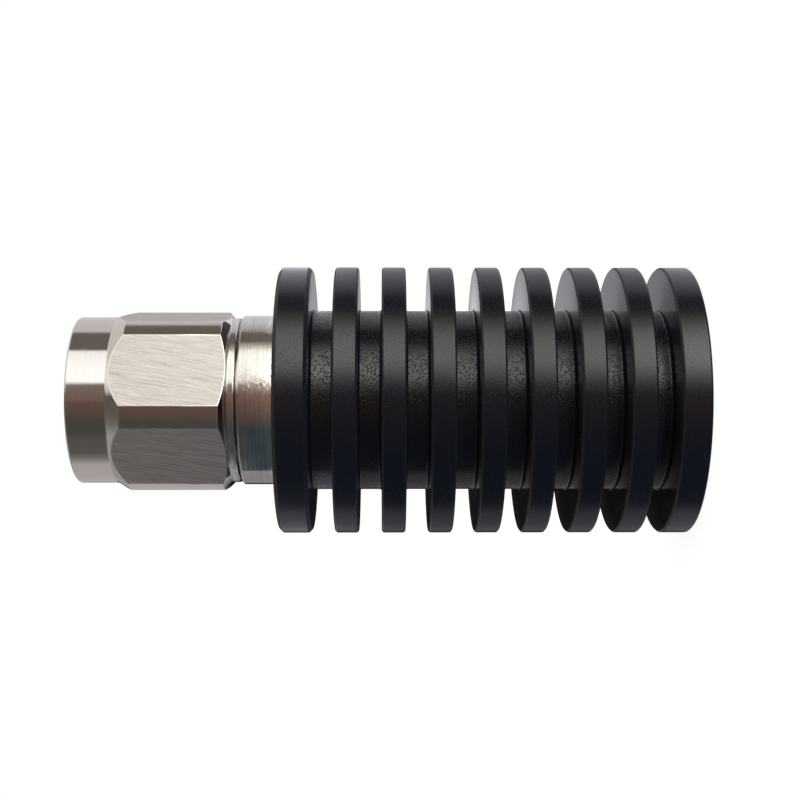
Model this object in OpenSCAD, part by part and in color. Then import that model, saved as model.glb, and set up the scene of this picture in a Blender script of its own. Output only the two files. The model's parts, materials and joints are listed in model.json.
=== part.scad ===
// Coaxial dummy load: a screw-on plug in front of a finned heat sink with a resistor inside.
// It stands on the rear face of the heat sink, and its axis runs up +Z to the plug.

/* [Heat sink] */
// Outer diameter of the fins
fin_d = 30; // [26:0.1:36]
// Diameter of the core between the fins
core_d = 20.2; // [18.5:0.1:23]
// Number of fins, with the two end fins
fin_count = 9; // [7:1:14]
// Thickness of an inner fin
fin_t = 2.65; // [1.6:0.05:3.2]
// Width of the groove between two fins
fin_gap = 2.55; // [2:0.05:4]
// Thickness of the fin next to the plug
front_fin_t = 3.65; // [2.4:0.05:5]
// Thickness of the fin that it stands on
rear_fin_t = 3.1; // [2:0.1:5]
// Chamfer on the rims of the fins
fin_chamfer = 0.2; // [0.1:0.05:0.6]
// Chamfer on the rim of the fin next to the plug
front_fin_chamfer = 0.4; // [0.1:0.05:0.8]
// Fillet at the roots of the grooves
root_fillet = 0.3; // [0.1:0.05:0.8]
// Solid metal left behind the bore
rear_wall = 9; // [5:0.5:14]

/* [Connector body] */
// Diameter of the collar between the heat sink and the nut
collar_d = 19.1; // [17.5:0.1:20.2]
// Length of the collar
collar_len = 4.15; // [2.5:0.05:8]
// Chamfer on the front edge of the collar
collar_chamfer = 0.15; // [0.1:0.05:0.6]
// Diameter of the spigot screwed into the heat sink
spigot_d = 16; // [14.5:0.1:17]
// Length of the spigot
spigot_len = 7; // [4:0.5:10]
// Chamfer on the end of the spigot
spigot_chamfer = 0.5; // [0.2:0.1:1]
// Length of the barrel that the nut turns on
barrel_len = 4.7; // [4:0.1:7]
// Wall of the neck that centres the gasket
neck_wall = 0.7; // [0.4:0.05:1]
// Bore of the coaxial line
line_d = 7; // [6.4:0.1:7.6]

/* [Coupling nut] */
// Width across the flats
nut_af = 19; // [18:0.1:20]
// Turned diameter across the corners
nut_corner_d = 20.7; // [19.5:0.1:22]
// Turn of the flats about the axis, in degrees
nut_turn = 19.8; // [0:0.2:60]
// Overall length
nut_len = 18.2; // [16:0.1:22]
// Diameter of the rear lip
lip_d = 18.6; // [17.6:0.1:19]
// Length of the rear lip
lip_len = 0.85; // [0.4:0.05:1.5]
// Length of the chamfer behind the flats
rear_chamfer = 0.8; // [0.4:0.05:2]
// Diameter of the round front
nose_d = 18.7; // [17.6:0.1:19]
// Length of the round front
nose_len = 4.4; // [2:0.1:7]
// Length of the chamfer in front of the flats
front_chamfer = 1.6; // [0.4:0.1:2.5]
// Break on the sharp edges
nut_edge = 0.15; // [0.1:0.05:0.5]
// Diameter at the roots of the thread
thread_d = 15.88; // [15.2:0.02:16.3]
// Step from the thread down to the rear web, on each side
web_step = 0.68; // [0.4:0.02:1]
// Depth of the lead-in and of the thread relief, on each side
relief_depth = 0.2; // [0.1:0.05:0.4]
// Length of the lead-in at the mouth
lead_len = 1.4; // [0.6:0.1:3]
// Length of the thread relief
relief_len = 1.3; // [0.6:0.1:3]

/* [Snap ring and gasket] */
// Place of the ring in front of the collar
ring_place = 2.1; // [1.6:0.1:2.4]
// Thickness of the ring
ring_t = 1; // [0.6:0.1:1.2]
// Radial width of the ring
ring_w = 1.2; // [0.9:0.1:1.5]
// How far the ring stands out of the barrel
ring_bite = 0.55; // [0.3:0.05:0.7]
// Width of the split in the ring
ring_split = 2; // [1:0.1:4]
// Thickness of the gasket
gasket_t = 1.5; // [0.8:0.1:2.2]
// Edge break of the gasket
gasket_edge = 0.2; // [0.1:0.05:0.4]

/* [Contacts] */
// Wall of the outer contact
contact_wall = 0.5; // [0.3:0.05:0.7]
// Reach of the outer contact in front of the gasket seat
contact_reach = 10.8; // [9:0.1:12]
// Number of slots in the outer contact
slot_count = 4; // [4:1:8]
// Width of a slot
slot_w = 0.4; // [0.2:0.05:0.8]
// Length of a slot
slot_len = 7.5; // [4:0.1:8.5]
// Chamfer on the end of the outer contact
contact_chamfer = 0.2; // [0.1:0.05:0.25]
// Diameter of the centre pin
pin_d = 1.65; // [1.5:0.01:1.8]
// Reach of the pin past the outer contact
pin_ahead = 1.2; // [0:0.1:2]
// Taper at the tip of the pin
pin_taper = 0.5; // [0.3:0.05:0.7]
// Distance of the pin's shoulder behind the end of the outer contact
shoulder_back = 5.4; // [4:0.1:7]
// Diameter of the conductor behind the shoulder
conductor_d = 3.04; // [2.6:0.02:3.4]
// Length of the cone at the shoulder
shoulder_cone = 0.4; // [0.2:0.05:0.8]
// Diameter of the pin in the bead
bead_pin_d = 2; // [1.8:0.1:2.4]
// Thickness of the insulator bead
bead_t = 3; // [2:0.1:4]
// Step of the bead outside the line bore
bead_step = 1.1; // [0.8:0.05:1.3]
// Depth of the ring recess in the bead's faces
bead_recess = 0.4; // [0.2:0.05:0.8]
// Distance of the bead behind the front of the collar
bead_back = 2.5; // [1:0.1:3.5]

/* [Resistor] */
// Step from the spigot down to the resistor carrier, on each side
carrier_step = 1; // [0.6:0.1:2]
// Thickness of the carrier's flange
flange_t = 1; // [0.6:0.1:2]
// Width of the pocket milled in the carrier
pocket_w = 9; // [6:0.1:11]
// Diameter of the pin's tail
tail_d = 1.4; // [1.1:0.1:1.8]
// Distance of the tail's flat from the axis
tail_flat = 0.35; // [0.2:0.05:0.5]
// Distance of the chip behind the flange's front
chip_back = 2; // [1:0.1:4]
// Length of the chip
chip_len = 6.35; // [4:0.05:8]
// Width of the chip
chip_w = 4; // [2.5:0.1:5]
// Thickness of the chip
chip_t = 1; // [0.6:0.1:1.5]
// Width of the input tab
tab_w = 1.2; // [0.6:0.1:2]
// Thickness of the input tab
tab_t = 0.2; // [0.1:0.05:0.4]
// Length of the tab on the chip
tab_lap = 1.5; // [0.8:0.1:2.5]

/* [Fits] */
// Running clearance of the nut on the barrel
running_fit = 0.06; // [0.02:0.01:0.1]
// End clearance of the nut and of the snap ring
end_gap = 0.2; // [0.15:0.05:0.5]
// Clearance of screwed and slipped-in pieces
seat_fit = 0.05; // [0.02:0.01:0.1]

/* [Hidden] */
$fn = 96;
fillet_steps = 4;
// Cut-outs run this far past the faces that they open
overrun = 1;

fin_pitch = fin_t + fin_gap;
sink_len = rear_fin_t + (fin_count - 2) * fin_pitch + fin_gap + front_fin_t;
collar_z = sink_len + collar_len;
seat_z = collar_z + barrel_len;

// Radii of the connector body
line_r = line_d / 2;
spigot_r = spigot_d / 2;
collar_r = collar_d / 2;
nut_bore_r = thread_d / 2 - web_step;
barrel_r = nut_bore_r - running_fit;
bead_r = line_r + bead_step;
neck_r = bead_r + neck_wall;

// Levels of the pieces behind the collar
spigot_z = sink_len - spigot_len;
ledge_z = spigot_z - flange_t;
carrier_r = spigot_r - carrier_step;
carrier_z = rear_wall + end_gap;
chip_z = spigot_z - chip_back;

// Levels of the pieces in front of the collar
bead_z = collar_z - bead_back;
bead_front_z = bead_z + bead_t;
neck_z = seat_z + gasket_t / 2;
contact_z = seat_z + contact_reach;
shoulder_z = contact_z - shoulder_back;
nut_z = collar_z + end_gap;
nut_front_z = nut_z + nut_len;

// Snap ring and its two grooves
ring_z = collar_z + ring_place;
ring_r = barrel_r + ring_bite;
ring_inner_r = ring_r - ring_w;
ring_groove_r = ring_inner_r - seat_fit;
nut_groove_r = ring_r + end_gap;

// Height of the pocket's floor, from the tail down through tab and chip
chip_top = -tail_flat - tab_t;
pocket_floor = chip_top - chip_t;

// Points of a quarter-round fillet about a centre, from one angle to another
function arc_points(center, radius, from, to) = [
    for (i = [0 : fillet_steps])
        let (angle = from + (to - from) * i / fillet_steps)
            center + radius * [cos(angle), sin(angle)]
];

// Outline of one fin's rim from its lower to its upper face
function rim_points(low, high, chamfer) = [
    [fin_d / 2 - chamfer, low],
    [fin_d / 2, low + chamfer],
    [fin_d / 2, high - chamfer],
    [fin_d / 2 - chamfer, high]
];

// Outline of one groove's root, with a fillet in both corners
function groove_points(low) = concat(
    arc_points([core_d / 2 + root_fillet, low + root_fillet], root_fillet, 270, 180),
    arc_points([core_d / 2 + root_fillet, low + fin_gap - root_fillet], root_fillet, 180, 90)
);

// Lower and upper face of each fin, counted from the rear
function fin_low(i) = i == 0 ? 0 : rear_fin_t + fin_gap + (i - 1) * fin_pitch;
function fin_high(i) = i == 0 ? rear_fin_t : i == fin_count - 1 ? sink_len : fin_low(i) + fin_t;

// Ring of rectangular section
module ring(inner_r, outer_r, low, high) {
    rotate_extrude() translate([inner_r, low]) square([outer_r - inner_r, high - low]);
}

// Turned heat sink with a stepped blind bore
module heat_sink() {
    spigot_bore_r = spigot_r + seat_fit;
    carrier_bore_r = carrier_r + seat_fit;
    fins = [
        for (i = [0 : fin_count - 1])
            each concat(
                rim_points(fin_low(i), fin_high(i), i == fin_count - 1 ? front_fin_chamfer : fin_chamfer),
                i < fin_count - 1 ? groove_points(fin_high(i)) : []
            )
    ];
    bore = [
        [spigot_bore_r, sink_len],
        [spigot_bore_r, ledge_z],
        [carrier_bore_r, ledge_z],
        [carrier_bore_r, rear_wall],
        [0, rear_wall]
    ];
    color([0.07, 0.07, 0.075]) rotate_extrude() polygon(concat([[0, 0]], fins, bore));
}

// Turned connector body with collar, barrel and screwed spigot
module connector_body() {
    groove_end_z = ring_z + ring_t + seat_fit;
    color([0.72, 0.70, 0.66]) rotate_extrude() polygon([
        [line_r, spigot_z],
        [spigot_r - spigot_chamfer, spigot_z],
        [spigot_r, spigot_z + spigot_chamfer],
        [spigot_r, sink_len],
        [collar_r, sink_len],
        [collar_r, collar_z - collar_chamfer],
        [collar_r - collar_chamfer, collar_z],
        [barrel_r, collar_z],
        [barrel_r, ring_z],
        [ring_groove_r, ring_z],
        [ring_groove_r, groove_end_z],
        [barrel_r, groove_end_z],
        [barrel_r, seat_z],
        [neck_r, seat_z],
        [neck_r, neck_z],
        [bead_r, neck_z],
        [bead_r, bead_z],
        [line_r, bead_z]
    ]);
}

// Hexagon nut turned round at the corners, the nose and the rear lip
module coupling_nut() {
    thread_r = thread_d / 2;
    relief_r = thread_r + relief_depth;
    hex_z = nut_z + lip_len + rear_chamfer;
    hex_front_z = nut_front_z - nose_len - front_chamfer;
    lead_z = nut_front_z - lead_len;
    web_z = seat_z - end_gap;
    groove_low = ring_z - end_gap;
    groove_high = ring_z + ring_t + end_gap;
    outside = [
        [nut_bore_r, nut_z],
        [lip_d / 2 - nut_edge, nut_z],
        [lip_d / 2, nut_z + nut_edge],
        [lip_d / 2, nut_z + lip_len],
        [nut_corner_d / 2, hex_z],
        [nut_corner_d / 2, hex_front_z],
        [nose_d / 2, hex_front_z + front_chamfer],
        [nose_d / 2, nut_front_z - nut_edge],
        [nose_d / 2 - nut_edge, nut_front_z]
    ];
    inside = [
        [relief_r + nut_edge, nut_front_z],
        [relief_r, nut_front_z - nut_edge],
        [relief_r, lead_z],
        [thread_r, lead_z - relief_depth],
        [thread_r, web_z + relief_len + relief_depth],
        [relief_r, web_z + relief_len],
        [relief_r, web_z],
        [nut_bore_r, web_z],
        [nut_bore_r, groove_high],
        [nut_groove_r, groove_high],
        [nut_groove_r, groove_low],
        [nut_bore_r, groove_low]
    ];
    color([0.76, 0.73, 0.68]) intersection() {
        rotate_extrude() polygon(concat(outside, inside));
        translate([0, 0, nut_z - overrun]) rotate([0, 0, nut_turn])
            cylinder(r = nut_af / 2 / cos(30), h = nut_len + 2 * overrun, $fn = 6);
    }
}

// Split ring that keeps the nut on the barrel
module snap_ring() {
    color([0.78, 0.66, 0.42]) difference() {
        ring(ring_inner_r, ring_r, ring_z, ring_z + ring_t);
        translate([ring_inner_r - overrun, -ring_split / 2, ring_z - overrun])
            cube([ring_w + 2 * overrun, ring_split, ring_t + 2 * overrun]);
    }
}

// Soft flat gasket on the front of the barrel
module gasket() {
    inner_r = neck_r + seat_fit;
    top_z = seat_z + gasket_t;
    color([0.62, 0.22, 0.14]) rotate_extrude() polygon([
        [inner_r, seat_z],
        [barrel_r, seat_z],
        [barrel_r, top_z - gasket_edge],
        [barrel_r - gasket_edge, top_z],
        [inner_r + gasket_edge, top_z],
        [inner_r, top_z - gasket_edge]
    ]);
}

// Slotted outer contact, screwed in against the bead
module outer_contact() {
    base_r = bead_r - seat_fit;
    outer_r = line_r + contact_wall;
    color([0.80, 0.77, 0.70]) difference() {
        rotate_extrude() polygon([
            [line_r, bead_front_z],
            [base_r, bead_front_z],
            [base_r, neck_z],
            [outer_r, neck_z],
            [outer_r, contact_z - contact_chamfer],
            [outer_r - contact_chamfer, contact_z],
            [line_r + contact_chamfer, contact_z],
            [line_r, contact_z - contact_chamfer]
        ]);
        for (i = [0 : slot_count - 1])
            rotate([0, 0, (i + 0.5) * 360 / slot_count])
                translate([line_r - overrun, -slot_w / 2, contact_z - slot_len])
                    cube([contact_wall + 2 * overrun, slot_w, slot_len + overrun]);
    }
}

// Centre pin with its conductor and its flatted tail
module center_pin() {
    pin_r = pin_d / 2;
    tip_z = contact_z + pin_ahead;
    color([0.86, 0.68, 0.30]) difference() {
        rotate_extrude() polygon([
            [0, chip_z],
            [tail_d / 2, chip_z],
            [tail_d / 2, bead_z],
            [bead_pin_d / 2, bead_z],
            [bead_pin_d / 2, bead_front_z],
            [conductor_d / 2, bead_front_z],
            [conductor_d / 2, shoulder_z - shoulder_cone],
            [pin_r, shoulder_z],
            [pin_r, tip_z - pin_taper],
            [pin_r - pin_taper / 2, tip_z],
            [0, tip_z]
        ]);
        translate([-tail_d, -tail_d - tail_flat, chip_z - overrun])
            cube([2 * tail_d, tail_d, chip_back + overrun]);
    }
}

// Bead that holds the pin, with a ring recess in both faces
module insulator_bead() {
    hole_r = bead_pin_d / 2 + seat_fit;
    hub_r = conductor_d / 2;
    color([0.93, 0.93, 0.90]) rotate_extrude() polygon([
        [hole_r, bead_z],
        [hub_r, bead_z],
        [hub_r, bead_z + bead_recess],
        [line_r, bead_z + bead_recess],
        [line_r, bead_z],
        [bead_r - seat_fit, bead_z],
        [bead_r - seat_fit, bead_front_z],
        [line_r, bead_front_z],
        [line_r, bead_front_z - bead_recess],
        [hub_r, bead_front_z - bead_recess],
        [hub_r, bead_front_z],
        [hole_r, bead_front_z]
    ]);
}

// Flanged carrier in the heat sink's bore, milled open for the chip
module resistor_carrier() {
    pocket_len = chip_back + chip_len + chip_t;
    color([0.72, 0.45, 0.30]) difference() {
        union() {
            translate([0, 0, carrier_z]) cylinder(r = carrier_r, h = spigot_z - carrier_z);
            translate([0, 0, ledge_z]) cylinder(r = spigot_r - seat_fit, h = flange_t);
        }
        translate([-pocket_w / 2, pocket_floor, spigot_z - pocket_len])
            cube([pocket_w, spigot_d, pocket_len + overrun]);
    }
}

// Ceramic resistor chip on the floor of the pocket
module resistor_chip() {
    color([0.85, 0.84, 0.80]) translate([-chip_w / 2, pocket_floor, chip_z - chip_len])
        cube([chip_w, chip_t, chip_len]);
}

// Flat tab from the tail of the pin to the chip
module input_tab() {
    color([0.80, 0.79, 0.76]) translate([-tab_w / 2, chip_top, chip_z - tab_lap])
        cube([tab_w, tab_t, tab_lap + chip_back]);
}

heat_sink();
connector_body();
coupling_nut();
snap_ring();
gasket();
outer_contact();
center_pin();
insulator_bead();
resistor_carrier();
resistor_chip();
input_tab();
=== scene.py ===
"""Looks of a coaxial dummy load: ground coupling nut, turned collar and black finned heat sink."""

import json
import math

import bmesh
import bpy
from mathutils import Matrix, Vector

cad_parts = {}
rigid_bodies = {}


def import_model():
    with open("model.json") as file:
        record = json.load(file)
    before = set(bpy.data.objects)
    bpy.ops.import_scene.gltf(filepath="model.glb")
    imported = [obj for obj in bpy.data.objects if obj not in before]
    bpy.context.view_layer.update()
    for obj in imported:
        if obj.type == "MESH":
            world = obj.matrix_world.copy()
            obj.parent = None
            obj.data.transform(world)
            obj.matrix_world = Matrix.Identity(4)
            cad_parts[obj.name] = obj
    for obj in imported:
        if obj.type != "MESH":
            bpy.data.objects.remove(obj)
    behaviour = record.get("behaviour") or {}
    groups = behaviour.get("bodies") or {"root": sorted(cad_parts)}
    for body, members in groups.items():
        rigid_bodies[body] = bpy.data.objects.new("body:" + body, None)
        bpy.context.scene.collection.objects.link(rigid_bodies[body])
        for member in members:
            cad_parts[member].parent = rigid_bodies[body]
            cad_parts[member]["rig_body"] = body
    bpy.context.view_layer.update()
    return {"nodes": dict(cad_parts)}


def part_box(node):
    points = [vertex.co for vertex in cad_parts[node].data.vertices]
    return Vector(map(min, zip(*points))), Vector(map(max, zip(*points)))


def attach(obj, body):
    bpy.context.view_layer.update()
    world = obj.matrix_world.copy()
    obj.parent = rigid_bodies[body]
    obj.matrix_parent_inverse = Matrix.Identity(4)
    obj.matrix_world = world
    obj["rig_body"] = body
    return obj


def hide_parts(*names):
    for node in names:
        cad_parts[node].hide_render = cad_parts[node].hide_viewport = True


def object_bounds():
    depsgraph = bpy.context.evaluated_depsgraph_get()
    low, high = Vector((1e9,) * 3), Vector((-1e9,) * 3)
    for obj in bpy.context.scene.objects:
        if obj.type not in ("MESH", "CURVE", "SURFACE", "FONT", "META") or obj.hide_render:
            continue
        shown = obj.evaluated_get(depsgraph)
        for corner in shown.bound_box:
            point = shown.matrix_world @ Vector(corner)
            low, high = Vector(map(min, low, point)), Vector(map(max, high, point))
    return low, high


MM = 0.001
DEG = math.pi / 180

# Camera: the part's axis lies level in the picture, with the plug on the left and +X upwards
CAMERA_PLACE = Vector((0.0, -157.2, 33.83)) * MM
CAMERA_TURN = 0.58 * DEG
CAMERA_LENS = 62.235
CAMERA_SENSOR = 36.0
CAMERA_NEAR = 1 * MM
CAMERA_FAR = 10.0

# Finished pieces: welding, smooth shading, and the rounding of each one's edges
WELD = 0.0001 * MM
FLAT_ANGLE = 0.3 * DEG
SHARP_ANGLE = 24 * DEG
SMOOTH_ANGLE = 32 * DEG
EDGE_STEPS = 3
FACET_SPAN = 8 * DEG
SIDEWAYS = 0.05
EDGES = {
    "heat_sink": 0.05 * MM,
    "connector_body": 0.06 * MM,
    "coupling_nut": 0.09 * MM,
    "outer_contact": 0.04 * MM,
    "center_pin": 0.04 * MM,
    "gasket": 0.06 * MM,
    "insulator_bead": 0.06 * MM,
}

# Coupling thread, 24 turns to the inch, right-handed
THREAD_PITCH = 25.4 / 24 * MM
THREAD_ROOT_R = 7.94 * MM
THREAD_DEPTH = 0.52 * MM
THREAD_SEAT = 0.04 * MM
THREAD_LEAD = 1.9 * MM
THREAD_TURNS = 9.5
THREAD_STEPS = 96
THREAD_RUNOUT = 0.3

# Half width of the thread's foot and width of its flanks as shares of the pitch, least share of its depth
THREAD_FOOT = 0.46
THREAD_FLANK = 0.38
THREAD_LEAST = 0.02

# Hexagon of the coupling nut, and what tells its flats from other faces
NUT_ACROSS_FLATS = 19.0 * MM
FLAT_TOLERANCE = 0.02 * MM
FLAT_LEAST_AREA = MM * MM
UPRIGHT = 0.01

# Radii between which the heat sink's grooves give way to its rims: the grooves' painted lift, a lighter
# black that stands in for light reaching them, fades to the darker black of the rims, and roughness and
# pitting change too
GROOVE_TO_RIM_FROM = 11 * MM
GROOVE_TO_RIM_FULL = 14.5 * MM

# Band along the heat sink where the blasting is strongest, and its strength beside the band and on the rims
BLAST_MIDDLE = 2.5 * MM
BLAST_NEAR = 2 * MM
BLAST_FAR = 5 * MM
BLAST_BESIDE = 0.3
BLAST_ON_RIM = 0.35

# Grain and pits of the blasting: a pit's floor and lip are shares of the spacing, and rims are less pitted
GRAIN_SIZE = 0.20 * MM
GRAIN_DEPTH = 0.005 * MM
PIT_SPACING = 0.25 * MM
PIT_DEPTH = 0.010 * MM
PIT_FLOOR = 0.32
PIT_LIP = 0.45
RIM_FILL = 0.16
CLOUD_SIZE = 5 * MM

# Roughness of the heat sink, and what its edges add
PIT_ROUGHNESS = 0.44
GROOVE_ROUGHNESS = 0.14
RIM_ROUGHNESS = 0.212
EDGE_ROUGHNESS = 0.35

# How far a face of the heat sink points along the axis: on the fins' walls, and on the rounded edges
WALL_FROM = 0.8
WALL_FULL = 0.95
EDGE_FACING = 0.7
EDGE_SPAN = 0.2

# Chatter and handling marks on turned metal: the chatter fades out below the axis
CHATTER_SIZE = 0.3 * MM
CHATTER_LINES = 4
CHATTER_FROM = -1.5 * MM
CHATTER_FULL = 0.5 * MM
HANDLING_SIZE = 2.5 * MM

# Grinding marks on the flats: slant, width and length of each layer
GRINDING = [
    (8 * DEG, 0.09 * MM, 4.0 * MM),
    (11 * DEG, 0.13 * MM, 6.0 * MM),
    (15 * DEG, 0.10 * MM, 3.0 * MM),
]
GRINDING_SPAN = (0.38, 0.62)
GRINDING_DEPTH = 0.012 * MM

# Deeper cuts among the grinding marks
CUT_SLANT = 9 * DEG
CUT_WIDTH = 0.16 * MM
CUT_LENGTH = 7 * MM
CUT_DEPTH = 0.010 * MM
CUT_FROM = 0.66
CUT_FULL = 0.72
CUT_SHADE = 0.5

# Floor
FLOOR_SIZE = 4.0
FLOOR_DROP = 0.02 * MM
FLOOR_GLOW = 0.88
FLOOR_WHITE = 0.35
FLOOR_MOTTLE = 1.03
FLOOR_GRAIN = 4 * MM
FLOOR_ROUGHNESS = 0.9

# Studio round the axis: light at each angle in degrees, measured from the camera's side towards +X
SINK_LIGHT = [
    (-180, (0.008, 0.008, 0.010)), (-162, (0.008, 0.008, 0.010)),
    (-152, (0.22, 0.22, 0.24)), (-130, (0.24, 0.24, 0.265)), (-112, (0.31, 0.31, 0.34)),
    (-100, (0.052, 0.066, 0.075)), (-44, (0.050, 0.064, 0.073)),
    (-40, (0.090, 0.082, 0.072)), (-24, (0.090, 0.082, 0.072)),
    (-18, (0.16, 0.108, 0.090)), (6, (0.21, 0.145, 0.120)), (12, (0.40, 0.33, 0.30)),
    (21, (1.38, 1.34, 1.19)), (33, (2.75, 2.77, 2.55)), (45, (2.58, 2.60, 2.40)),
    (57, (2.06, 2.07, 1.91)), (67, (1.00, 0.97, 0.88)), (77, (0.28, 0.25, 0.215)),
    (84, (0.11, 0.095, 0.085)), (98, (0.11, 0.095, 0.085)),
    (106, (0.45, 0.44, 0.45)), (122, (0.62, 0.60, 0.63)), (145, (0.55, 0.535, 0.57)),
    (180, (0.52, 0.51, 0.55)),
]
COLLAR_LIGHT = [
    (-180, (0.008, 0.008, 0.010)), (-162, (0.008, 0.008, 0.010)),
    (-152, (0.29, 0.29, 0.31)), (-113, (0.34, 0.34, 0.37)),
    (-110, (0.038, 0.062, 0.079)), (-39, (0.042, 0.063, 0.077)),
    (-34, (0.085, 0.075, 0.065)), (2, (0.210, 0.130, 0.110)), (11, (0.26, 0.172, 0.142)),
    (20, (0.38, 0.30, 0.25)), (29, (0.70, 0.62, 0.54)), (38, (0.84, 0.81, 0.72)),
    (47, (1.00, 1.02, 0.94)), (60, (1.38, 1.43, 1.36)), (70, (1.40, 1.41, 1.34)),
    (79, (0.70, 0.67, 0.59)), (86, (0.19, 0.165, 0.143)), (101, (0.17, 0.148, 0.138)),
    (114, (0.57, 0.55, 0.57)), (133, (0.77, 0.78, 0.80)), (180, (0.79, 0.79, 0.81)),
]
PLUG_LIGHT = [
    (-180, (0.008, 0.008, 0.010)), (-168, (0.008, 0.008, 0.010)),
    (-160, (0.56, 0.53, 0.56)), (-100, (0.55, 0.52, 0.545)),
    (-88, (0.250, 0.245, 0.240)), (-77, (0.128, 0.126, 0.121)), (-56, (0.127, 0.118, 0.110)),
    (-46, (0.088, 0.084, 0.074)), (-28, (0.088, 0.084, 0.074)),
    (-18, (0.140, 0.095, 0.080)), (-4, (0.170, 0.108, 0.090)),
    (2, (0.235, 0.165, 0.140)), (20.8, (0.270, 0.215, 0.190)),
    (24.7, (1.62, 1.62, 1.63)), (45, (1.58, 1.59, 1.61)),
    (59, (1.48, 1.46, 1.47)), (70, (1.36, 1.32, 1.32)),
    (73, (0.18, 0.155, 0.145)), (105, (0.18, 0.155, 0.145)),
    (109, (0.74, 0.71, 0.73)), (160, (0.76, 0.73, 0.75)),
    (171, (0.47, 0.465, 0.505)), (180, (0.44, 0.435, 0.475)),
]
MOUTH_LIGHT = [
    (-180, (0.30, 0.29, 0.30)), (-134, (0.42, 0.41, 0.42)), (-88, (0.46, 0.44, 0.43)),
    (-66, (0.22, 0.21, 0.19)), (-48, (0.17, 0.15, 0.135)), (12, (0.17, 0.145, 0.13)),
    (26, (1.10, 1.08, 1.04)), (70, (1.20, 1.17, 1.12)),
    (100, (0.82, 0.77, 0.74)), (180, (0.76, 0.73, 0.75)),
]

# Where one ring of light gives way to the next, by the rise of the reflected ray
COLLAR_FROM = 0.074
COLLAR_FULL = 0.080
PLUG_FROM = 0.108
PLUG_FULL = 0.111
MOUTH_FROM = 0.30
MOUTH_FULL = 0.45

# The sink's light is brighter towards both ends of the sink: gain by the rise of the reflected ray
SINK_GAIN = [(-0.25, 1.80), (-0.18, 1.0), (0.035, 1.0), (0.057, 2.5)]

# Dim room in front of the plug and behind the sink
FRONT_ROOM = (0.13, 0.12, 0.11)
FRONT_FROM = 0.95
FRONT_FULL = 0.985
REAR_ROOM = (0.06, 0.064, 0.07)
REAR_FROM = -0.45
REAR_FULL = -0.75


# Node trees

def add(tree, kind, settings=None, inputs=None):
    """A new node, with its settings and with constants or links on its inputs."""
    node = tree.nodes.new(kind)
    for key, value in (settings or {}).items():
        setattr(node, key, value)
    for key, value in (inputs or {}).items():
        if isinstance(value, bpy.types.NodeSocket):
            tree.links.new(value, node.inputs[key])
        else:
            node.inputs[key].default_value = value
    return node


def new_material(name, constants):
    """A material with one principled shader, and its object coordinates."""
    material = bpy.data.materials.new(name)
    material.use_nodes = True
    tree = material.node_tree
    tree.nodes.clear()
    shader = add(tree, "ShaderNodeBsdfPrincipled", inputs=constants)
    add(tree, "ShaderNodeOutputMaterial", inputs={"Surface": shader.outputs["BSDF"]})
    place = add(tree, "ShaderNodeTexCoord").outputs["Object"]
    return material, tree, shader, place


def scaled(tree, vector, size, turn=0.0):
    """Coordinates in which a pattern cell has the given size in metres along each axis."""
    scale = [1 / length for length in size]
    turned = add(tree, "ShaderNodeMapping", inputs={"Vector": vector, "Rotation": (0, 0, turn)})
    return add(tree, "ShaderNodeMapping",
               inputs={"Vector": turned.outputs["Vector"], "Scale": scale}).outputs["Vector"]


def noise(tree, vector, detail):
    """Cloudy values between 0 and 1."""
    settings = {"Vector": vector, "Scale": 1.0, "Detail": detail}
    return add(tree, "ShaderNodeTexNoise", inputs=settings).outputs["Fac"]


def spread(tree, value, low, high, start=0.3, end=0.7):
    """A value mapped from one span to another, the first being the usual span of noise unless given."""
    settings = {"Value": value, "From Min": start, "From Max": end, "To Min": low, "To Max": high}
    return add(tree, "ShaderNodeMapRange", inputs=settings).outputs["Result"]


def maths(tree, operation, *values):
    """The result of a calculation with one to three values."""
    return add(tree, "ShaderNodeMath", {"operation": operation}, dict(enumerate(values))).outputs[0]


def component(tree, vector, axis):
    """The X, Y or Z of a vector."""
    return add(tree, "ShaderNodeSeparateXYZ", inputs={0: vector}).outputs[axis]


def tint(tree, value, dark, light, start=0.3, end=0.7):
    """A colour between two others, by a noise value."""
    shades = add(tree, "ShaderNodeValToRGB", inputs={"Fac": value})
    for stop, position, colour in zip(shades.color_ramp.elements, (start, end), (dark, light)):
        stop.position = position
        stop.color = (*colour, 1)
    return shades.outputs["Color"]


def blend(tree, share, first, second):
    """A mix of two colours."""
    mix = add(tree, "ShaderNodeMix", {"data_type": "RGBA"}, {0: share, 6: first, 7: second})
    return mix.outputs[2]


def bump(tree, height, depth, strength=1.0, below=None):
    """A normal bumped by a height map of the given depth in metres."""
    settings = {"Height": height, "Distance": depth, "Strength": strength}
    if below is not None:
        settings["Normal"] = below
    return add(tree, "ShaderNodeBump", inputs=settings).outputs["Normal"]


def connect(tree, shader, **sockets):
    """Links patterns to the shader's inputs, whose names are given with underscores for spaces."""
    for name, value in sockets.items():
        tree.links.new(value, shader.inputs[name.replace("_", " ")])


# Materials

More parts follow.
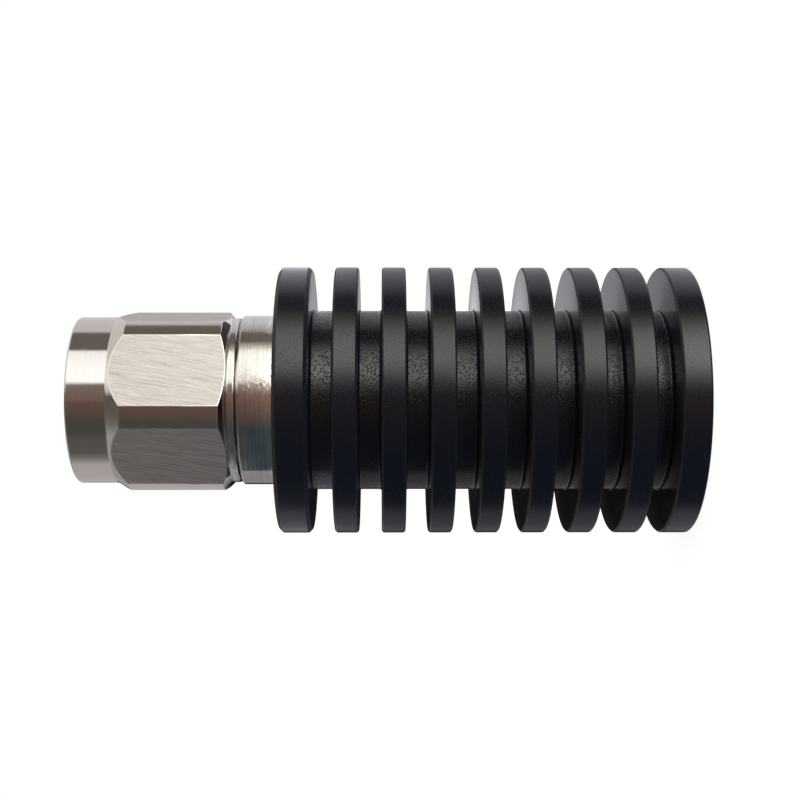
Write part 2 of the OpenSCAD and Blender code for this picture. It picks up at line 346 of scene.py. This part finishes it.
def black_anodised():
    """Bead-blasted and black anodised aluminium: fine grain, small pits, and painted lift, where the
    grooves and fin walls are coloured a lighter black than the rims to stand in for light reaching them.
    """
    material, tree, shader, place = new_material("black_anodised", {"IOR": 1.5})
    grain = noise(tree, scaled(tree, place, [GRAIN_SIZE] * 3), detail=2)
    cells = scaled(tree, place, [PIT_SPACING] * 3)
    pits = add(tree, "ShaderNodeTexVoronoi", inputs={"Vector": cells, "Scale": 1.0}).outputs["Distance"]
    clouds = noise(tree, scaled(tree, place, [CLOUD_SIZE] * 3), detail=3)
    facing = add(tree, "ShaderNodeTexCoord").outputs["Normal"]
    face = maths(tree, "ABSOLUTE", component(tree, facing, "Z"))
    wall = spread(tree, face, 0, 1, WALL_FROM, WALL_FULL)
    edge = maths(tree, "COMPARE", face, EDGE_FACING, EDGE_SPAN)
    flat = add(tree, "ShaderNodeVectorMath", {"operation": "MULTIPLY"}, {0: place, 1: (1, 1, 0)})
    reach = add(tree, "ShaderNodeVectorMath", {"operation": "LENGTH"}, {0: flat.outputs["Vector"]})
    out = spread(tree, reach.outputs["Value"], 0, 1, GROOVE_TO_RIM_FROM, GROOVE_TO_RIM_FULL)
    filled = maths(tree, "MULTIPLY_ADD", out, RIM_FILL, pits)
    whole = maths(tree, "MAXIMUM", spread(tree, filled, 0, 1, PIT_FLOOR, PIT_LIP), wall)
    smooth = spread(tree, out, GROOVE_ROUGHNESS, RIM_ROUGHNESS, 0, 1)
    rough = spread(tree, whole, PIT_ROUGHNESS, smooth, 0, 1)
    beside = maths(tree, "ABSOLUTE", maths(tree, "SUBTRACT", component(tree, place, "X"), BLAST_MIDDLE))
    band = spread(tree, beside, 1, BLAST_BESIDE, BLAST_NEAR, BLAST_FAR)
    blast = maths(tree, "MULTIPLY", band, spread(tree, out, 1, BLAST_ON_RIM, 0, 1))
    fine = bump(tree, grain, GRAIN_DEPTH, blast)
    # Painted lift in the grooves: their black is lighter than the rims', standing in for light that reaches
    # them
    groove_black_painted_lift = tint(tree, clouds, (0.0040, 0.0054, 0.0120), (0.0060, 0.0074, 0.0155))
    rim_black = tint(tree, clouds, (0.0024, 0.0036, 0.0080), (0.0034, 0.0046, 0.0100))
    # Painted lift on the fin walls: their black is much lighter than the rims', standing in for light
    # reflected onto them
    wall_black_painted_lift = tint(tree, clouds, (0.020, 0.021, 0.029), (0.023, 0.024, 0.033))
    connect(tree, shader,
            Base_Color=blend(tree, wall, blend(tree, out, groove_black_painted_lift, rim_black), wall_black_painted_lift),
            Roughness=maths(tree, "MULTIPLY_ADD", edge, EDGE_ROUGHNESS, rough),
            Normal=bump(tree, whole, PIT_DEPTH, blast, fine))
    return material


def turned_metal(name, dark, light, roughness, line, run, depth, chatter=0.0):
    """Metal off the lathe: fine lines that run round the axis, each as long as run, with some chatter."""
    material, tree, shader, place = new_material(name, {"Metallic": 1.0})
    lines = noise(tree, scaled(tree, place, (run, run, line)), detail=3)
    waves = noise(tree, scaled(tree, place, (CHATTER_SIZE, CHATTER_SIZE, line * CHATTER_LINES)), detail=2)
    handling = noise(tree, scaled(tree, place, [HANDLING_SIZE] * 3), detail=4)
    upper = spread(tree, component(tree, place, "X"), 0, 1, CHATTER_FROM, CHATTER_FULL)
    worn = maths(tree, "MULTIPLY", waves, upper)
    connect(tree, shader,
            Base_Color=tint(tree, lines, dark, light),
            Roughness=spread(tree, handling, *roughness),
            Normal=bump(tree, lines, depth, 1.0, bump(tree, worn, chatter)))
    return material


def ground_metal():
    """Ground flats: long slanting scratches in several layers, with some deeper cuts."""
    material, tree, shader, place = new_material("ground_steel", {"Metallic": 1.0})
    facing = add(tree, "ShaderNodeTexCoord").outputs["Normal"]
    across = add(tree, "ShaderNodeVectorMath", {"operation": "CROSS_PRODUCT"}, {0: (0, 0, 1), 1: facing})
    rise = add(tree, "ShaderNodeVectorMath", {"operation": "DOT_PRODUCT"},
               {0: place, 1: across.outputs["Vector"]})
    sheet = add(tree, "ShaderNodeCombineXYZ",
                inputs={"X": rise.outputs["Value"], "Y": component(tree, place, "Z")}).outputs["Vector"]
    layers = [noise(tree, scaled(tree, sheet, (width, length, MM), slant), detail=2)
              for slant, width, length in GRINDING]
    total = layers[0]
    for layer in layers[1:]:
        total = maths(tree, "ADD", total, layer)
    hairs = spread(tree, total, 0, 1, *[share * len(GRINDING) for share in GRINDING_SPAN])
    cuts = noise(tree, scaled(tree, sheet, (CUT_WIDTH, CUT_LENGTH, MM), CUT_SLANT), detail=1)
    dulled = spread(tree, cuts, 0, CUT_SHADE, CUT_FROM, CUT_FULL)
    colour = tint(tree, hairs, (0.42, 0.397, 0.378), (0.74, 0.703, 0.668), 0.0, 1.0)
    connect(tree, shader,
            Base_Color=blend(tree, dulled, colour, (0.30, 0.28, 0.26, 1)),
            Roughness=spread(tree, hairs, 0.45, 0.55, 0, 1),
            Normal=bump(tree, cuts, CUT_DEPTH, 1.0, bump(tree, hairs, GRINDING_DEPTH)))
    return material


def soft_rubber():
    """Silicone gasket with a matte, slightly uneven skin."""
    material, tree, shader, place = new_material("silicone", {"IOR": 1.42})
    skin = noise(tree, scaled(tree, place, [0.35 * MM] * 3), detail=4)
    connect(tree, shader,
            Base_Color=tint(tree, skin, (0.34, 0.075, 0.045), (0.46, 0.115, 0.070)),
            Roughness=spread(tree, skin, 0.55, 0.75),
            Normal=bump(tree, skin, 0.010 * MM))
    return material


def waxy_polymer():
    """White polymer with a faint waxy grain and a little light inside."""
    material, tree, shader, place = new_material(
        "white_polymer", {"IOR": 1.38, "Subsurface Weight": 0.2, "Subsurface Scale": 0.6 * MM})
    grain = noise(tree, scaled(tree, place, [0.12 * MM] * 3), detail=2)
    connect(tree, shader,
            Base_Color=tint(tree, grain, (0.80, 0.80, 0.76), (0.88, 0.88, 0.85)),
            Roughness=spread(tree, grain, 0.38, 0.50),
            Normal=bump(tree, grain, 0.004 * MM))
    return material


def fired_ceramic():
    """Fired ceramic of the resistor chip."""
    material, tree, shader, place = new_material("chip_ceramic", {"IOR": 1.6})
    grain = noise(tree, scaled(tree, place, [0.08 * MM] * 3), detail=4)
    connect(tree, shader,
            Base_Color=tint(tree, grain, (0.66, 0.64, 0.58), (0.78, 0.76, 0.71)),
            Roughness=spread(tree, grain, 0.45, 0.62),
            Normal=bump(tree, grain, 0.003 * MM))
    return material


# Pieces

def link(name, mesh):
    """A new object in the scene."""
    item = bpy.data.objects.new(name, mesh)
    bpy.context.scene.collection.objects.link(item)
    return item


def true_normals(face):
    """The normal at each corner of a face: a turned face follows its circle, and a flat one stays flat."""
    middle = face.calc_center_median()
    outward = Vector((middle.x, middle.y, 0)).normalized()
    sideways = Vector((-outward.y, outward.x, 0)).dot(face.normal)
    spans = [abs(outward.angle(Vector((v.co.x, v.co.y, 0)), 0)) for v in face.verts]
    if abs(sideways) > SIDEWAYS or max(spans) > FACET_SPAN / 2:
        return {v: face.normal.copy() for v in face.verts}
    tilt = outward.dot(face.normal)
    normals = {}
    for vert in face.verts:
        radial = Vector((vert.co.x, vert.co.y, 0)).normalized()
        normals[vert] = (radial * tilt + Vector((0, 0, face.normal.z))).normalized()
    return normals


def corner_normals(work, rounded):
    """Normals for every face corner in order: true on the faces, and turning over rounded edges."""
    exact = {face: true_normals(face) for face in work.faces if face not in rounded}
    normals = []
    for face in work.faces:
        for vert in face.verts:
            near = [f for f in vert.link_faces if f in exact]
            if face in exact:
                own = exact[face][vert]
                near = [f for f in near if own.angle(exact[f][vert], 0) < SMOOTH_ANGLE]
            total = sum((exact[f][vert] * f.calc_area() for f in near), Vector())
            normals.append((total if near else vert.normal).normalized())
    return normals


def finished(node, materials):
    """A welded copy of a node with rounded edges, which stands for the node."""
    source = frame["nodes"][node]
    work = bmesh.new()
    work.from_mesh(source.data)
    bmesh.ops.remove_doubles(work, verts=work.verts, dist=WELD)
    bmesh.ops.dissolve_limit(work, angle_limit=FLAT_ANGLE, verts=work.verts, edges=work.edges)
    sharp = [e for e in work.edges if e.is_manifold and e.calc_face_angle() > SHARP_ANGLE]
    made = bmesh.ops.bevel(work, geom=sharp, offset=EDGES[node], offset_type="OFFSET",
                           segments=EDGE_STEPS, profile=0.5, affect="EDGES", clamp_overlap=False)
    work.normal_update()
    normals = corner_normals(work, set(made["faces"]))
    mesh = bpy.data.meshes.new(node + "_finished")
    work.to_mesh(mesh)
    work.free()
    mesh.polygons.foreach_set("use_smooth", [True] * len(mesh.polygons))
    mesh.normals_split_custom_set(normals)
    for material in materials:
        mesh.materials.append(material)
    piece = link(mesh.name, mesh)
    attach(piece, source["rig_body"])
    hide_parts(node)
    return piece


def paint_flats(nut):
    """Gives the six ground flats of the nut their own material, the second in its list."""
    for face in nut.data.polygons:
        upright = abs(face.normal.z) < UPRIGHT
        reach = face.center.dot(face.normal)
        level = abs(reach - NUT_ACROSS_FLATS / 2) < FLAT_TOLERANCE
        if upright and level and face.area > FLAT_LEAST_AREA:
            face.material_index = 1


def thread_ridge(material):
    """The coupling thread: a ridge wound inside the nut's bore, running out at both ends."""
    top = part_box("coupling_nut")[1].z - THREAD_LEAD
    steps = int(THREAD_TURNS * THREAD_STEPS)
    work = bmesh.new()
    rings = []
    for step in range(steps + 1):
        turns = step / THREAD_STEPS
        grown = min(1.0, turns / THREAD_RUNOUT, (THREAD_TURNS - turns) / THREAD_RUNOUT)
        depth = THREAD_DEPTH * max(grown, THREAD_LEAST)
        foot = THREAD_PITCH * THREAD_FOOT
        crest = THREAD_PITCH * (THREAD_FOOT - THREAD_FLANK * grown)
        middle = top - THREAD_PITCH * (THREAD_TURNS - turns)
        angle = turns * math.tau
        section = [
            (THREAD_ROOT_R + THREAD_SEAT, -foot),
            (THREAD_ROOT_R - depth, -crest),
            (THREAD_ROOT_R - depth, crest),
            (THREAD_ROOT_R + THREAD_SEAT, foot),
        ]
        rings.append([work.verts.new((r * math.cos(angle), r * math.sin(angle), middle + rise))
                      for r, rise in section])
    count = len(rings[0])
    for low, high in zip(rings, rings[1:]):
        for corner in range(count):
            after = (corner + 1) % count
            work.faces.new((low[corner], low[after], high[after], high[corner]))
    work.faces.new(reversed(rings[0]))
    work.faces.new(rings[-1])
    bmesh.ops.recalc_face_normals(work, faces=work.faces)
    mesh = bpy.data.meshes.new("coupling_thread")
    work.to_mesh(mesh)
    work.free()
    mesh.polygons.foreach_set("use_smooth", [True] * len(mesh.polygons))
    mesh.set_sharp_from_angle(angle=SMOOTH_ANGLE)
    mesh.materials.append(material)
    piece = link("coupling_thread", mesh)
    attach(piece, "nut")


def repaint(node, material):
    """A node that keeps its own shape gets its finish."""
    mesh = frame["nodes"][node].data
    mesh.materials.clear()
    mesh.materials.append(material)


# Stage

def white_floor():
    """A pale floor that glows a little, like a lit sweep."""
    material, tree, shader, place = new_material(
        "pale_floor",
        {"Emission Color": (1, 1, 1, 1), "Emission Strength": FLOOR_GLOW, "Roughness": FLOOR_ROUGHNESS})
    paper = noise(tree, scaled(tree, place, [FLOOR_GRAIN] * 3), detail=3)
    white = tint(tree, paper, [FLOOR_WHITE] * 3, [FLOOR_WHITE * FLOOR_MOTTLE] * 3)
    connect(tree, shader, Base_Color=white)
    half = FLOOR_SIZE / 2
    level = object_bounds()[0].z - FLOOR_DROP
    mesh = bpy.data.meshes.new("floor")
    corners = [(-half, -half, level), (half, -half, level), (half, half, level), (-half, half, level)]
    mesh.from_pydata(corners, [], [(0, 1, 2, 3)])
    mesh.materials.append(material)
    floor = link("floor", mesh)
    floor.visible_glossy = False


def ramp(tree, value, lights):
    """Light that changes with a value, from the first place in a list of lights to the last."""
    first = lights[0][0]
    last = lights[-1][0]
    share = spread(tree, value, 0, 1, first, last)
    shades = add(tree, "ShaderNodeValToRGB", inputs={"Fac": share})
    stops = shades.color_ramp.elements
    stops.remove(stops[1])
    for count, (place, colour) in enumerate(lights):
        position = (place - first) / (last - first)
        stop = stops.new(position) if count else stops[0]
        stop.position = position
        stop.color = (*colour, 1)
    return shades.outputs["Color"]


def studio():
    """White behind the part, and light and dark panels round it that only reflections see."""
    world = bpy.data.worlds.new("studio")
    bpy.context.scene.world = world
    world.use_nodes = True
    tree = world.node_tree
    tree.nodes.clear()
    way = add(tree, "ShaderNodeTexCoord").outputs["Generated"]
    part = add(tree, "ShaderNodeSeparateXYZ", inputs={0: way}).outputs
    toward = maths(tree, "MULTIPLY", part["Y"], -1.0)
    turn = maths(tree, "DEGREES", maths(tree, "ARCTAN2", part["X"], toward))
    gain = ramp(tree, part["Z"], [(rise, [amount] * 3) for rise, amount in SINK_GAIN])
    panels = add(tree, "ShaderNodeVectorMath", {"operation": "MULTIPLY"},
                 {0: ramp(tree, turn, SINK_LIGHT), 1: gain}).outputs["Vector"]
    rings = [
        ((*REAR_ROOM, 1), REAR_FROM, REAR_FULL),
        (ramp(tree, turn, COLLAR_LIGHT), COLLAR_FROM, COLLAR_FULL),
        (ramp(tree, turn, PLUG_LIGHT), PLUG_FROM, PLUG_FULL),
        (ramp(tree, turn, MOUTH_LIGHT), MOUTH_FROM, MOUTH_FULL),
        ((*FRONT_ROOM, 1), FRONT_FROM, FRONT_FULL),
    ]
    for light, start, full in rings:
        panels = blend(tree, spread(tree, part["Z"], 0, 1, start, full), panels, light)
    seen = add(tree, "ShaderNodeLightPath").outputs["Is Camera Ray"]
    shown = blend(tree, seen, panels, (1, 1, 1, 1))
    backdrop = add(tree, "ShaderNodeBackground", inputs={"Color": shown})
    add(tree, "ShaderNodeOutputWorld", inputs={"Surface": backdrop.outputs["Background"]})


def camera():
    """The photograph's view: level with the fins, and rolled so that the axis lies across the picture."""
    lens = bpy.data.cameras.new("camera")
    lens.lens = CAMERA_LENS
    lens.sensor_width = CAMERA_SENSOR
    lens.clip_start = CAMERA_NEAR
    lens.clip_end = CAMERA_FAR
    item = link("camera", lens)
    forward = Vector((0, math.cos(CAMERA_TURN), -math.sin(CAMERA_TURN)))
    up = Vector((1, 0, 0))
    right = forward.cross(up)
    turned = Matrix((right, up, -forward)).transposed().to_4x4()
    item.matrix_world = Matrix.Translation(CAMERA_PLACE) @ turned
    bpy.context.scene.camera = item


for leftover in list(bpy.data.objects):
    bpy.data.objects.remove(leftover)
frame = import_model()

camera()
studio()
white_floor()

collar_steel = turned_metal(
    "turned_steel", (0.545, 0.52, 0.487), (0.68, 0.65, 0.61), roughness=(0.05, 0.10),
    line=0.14 * MM, run=8 * MM, depth=0.0012 * MM, chatter=0.005 * MM)
nut_steel = turned_metal(
    "nut_steel", (0.625, 0.595, 0.56), (0.655, 0.625, 0.585), roughness=(0.06, 0.12),
    line=0.08 * MM, run=20 * MM, depth=0.001 * MM)
silver = turned_metal(
    "silver_plate", (0.76, 0.74, 0.70), (0.85, 0.83, 0.79), roughness=(0.12, 0.22),
    line=0.06 * MM, run=4 * MM, depth=0.002 * MM)
gold = turned_metal(
    "gold_plate", (0.84, 0.60, 0.24), (0.92, 0.70, 0.32), roughness=(0.10, 0.20),
    line=0.05 * MM, run=3 * MM, depth=0.0015 * MM)
bronze = turned_metal(
    "bronze", (0.62, 0.44, 0.26), (0.76, 0.55, 0.34), roughness=(0.20, 0.34),
    line=0.08 * MM, run=3 * MM, depth=0.003 * MM)
copper = turned_metal(
    "copper", (0.70, 0.36, 0.23), (0.82, 0.46, 0.31), roughness=(0.18, 0.32),
    line=0.08 * MM, run=5 * MM, depth=0.003 * MM)

finished("heat_sink", [black_anodised()])
finished("connector_body", [collar_steel])
paint_flats(finished("coupling_nut", [nut_steel, ground_metal()]))
finished("outer_contact", [silver])
finished("center_pin", [gold])
finished("gasket", [soft_rubber()])
finished("insulator_bead", [waxy_polymer()])
thread_ridge(nut_steel)
repaint("snap_ring", bronze)
repaint("resistor_carrier", copper)
repaint("resistor_chip", fired_ceramic())
repaint("input_tab", silver)

bpy.context.scene.view_settings.view_transform = "Standard"
